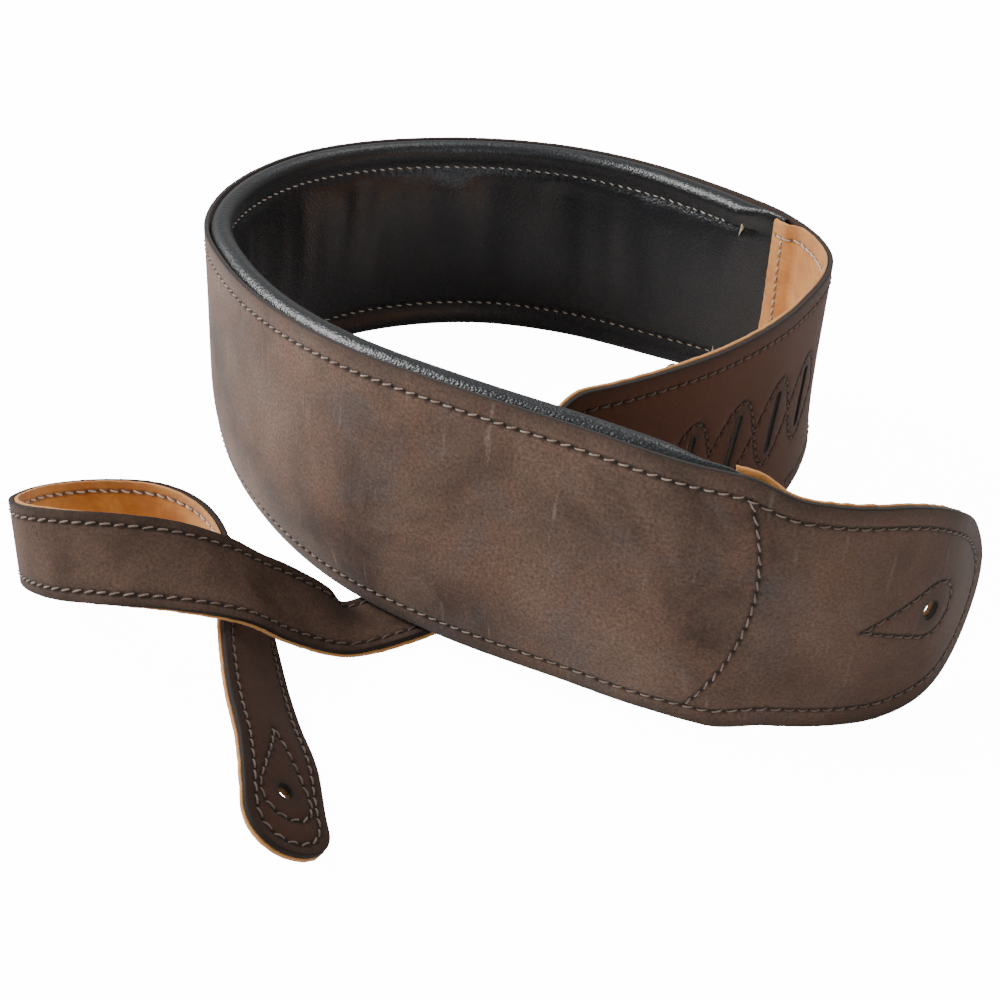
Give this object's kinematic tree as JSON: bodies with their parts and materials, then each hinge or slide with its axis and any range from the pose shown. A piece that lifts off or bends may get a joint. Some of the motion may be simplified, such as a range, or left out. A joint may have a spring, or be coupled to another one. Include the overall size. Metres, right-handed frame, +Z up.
{
  "type": "guitar strap",
  "caption": "Padded leather guitar strap: a wide band laid in a loop, with a round button end, a slotted end and a narrow tail threaded through the slots.",
  "frame": {"origin": "middle of the strap's footprint, on the surface that it lies on", "axes": "+Z up, +Y from the free tail and the button end towards the back of the loop, +X towards the button end's side"},
  "size_m": [0.3522, 0.4203, 0.1062],
  "materials": {
    "brown_leather": "matte oiled nubuck, mottled",
    "tan_leather": "undyed, fuzzy",
    "black_leather": "soft grained, satin",
    "foam": "open-cell foam",
    "brown_thread": "waxed thread",
    "white_thread": "waxed thread"
  },
  "bodies": {
    "band": {"band_outer_leather": "brown_leather", "tail_outer_leather": "brown_leather", "slotted_end_lining": "tan_leather", "pad_front_lining": "tan_leather", "tail_lining": "tan_leather", "band_edge_thread_outer": "brown_thread", "front_seam_thread_outer": "brown_thread", "rear_seam_thread_outer": "brown_thread", "slot_chain_thread_outer": "brown_thread", "tail_upper_thread_outer": "brown_thread", "tail_lower_thread_outer": "brown_thread", "front_seam_thread_inner": "white_thread", "rear_seam_thread_inner": "white_thread", "pad_seam_thread_top": "white_thread", "pad_seam_thread_bottom": "white_thread", "slotted_lining_thread": "white_thread", "slot_chain_thread_inner": "white_thread", "tail_upper_thread_inner": "white_thread", "tail_lower_thread_inner": "white_thread", "pad_cover": "black_leather", "pad_foam": "foam"},
    "button_end": {"button_end_leather": "brown_leather", "button_end_lining": "tan_leather", "button_edge_thread_outer": "brown_thread", "button_teardrop_thread_outer": "brown_thread", "button_edge_thread_inner": "white_thread", "button_teardrop_thread_inner": "white_thread"},
    "tail_end": {"tail_end_leather": "brown_leather", "tail_end_lining": "tan_leather", "tail_end_thread_outer": "brown_thread", "tail_teardrop_thread_outer": "brown_thread", "tail_end_thread_inner": "white_thread", "tail_teardrop_thread_inner": "white_thread"}
  },
  "joints": [
    {"name": "button_end_flex", "type": "hinge", "parent": "band", "child": "button_end", "pos_m": [0.10229, -0.1272, 0.05117], "axis": [0.0275, -0.0366, 0.999], "range_deg": [-20, 25], "stiffness_Nm_per_rad": 0.3},
    {"name": "tail_end_flex", "type": "hinge", "parent": "band", "child": "tail_end", "pos_m": [-0.07786, -0.12156, 0.01468], "axis": [-0.6474, -0.1807, 0.7404], "range_deg": [0, 35], "stiffness_Nm_per_rad": 0.08}
  ]
}
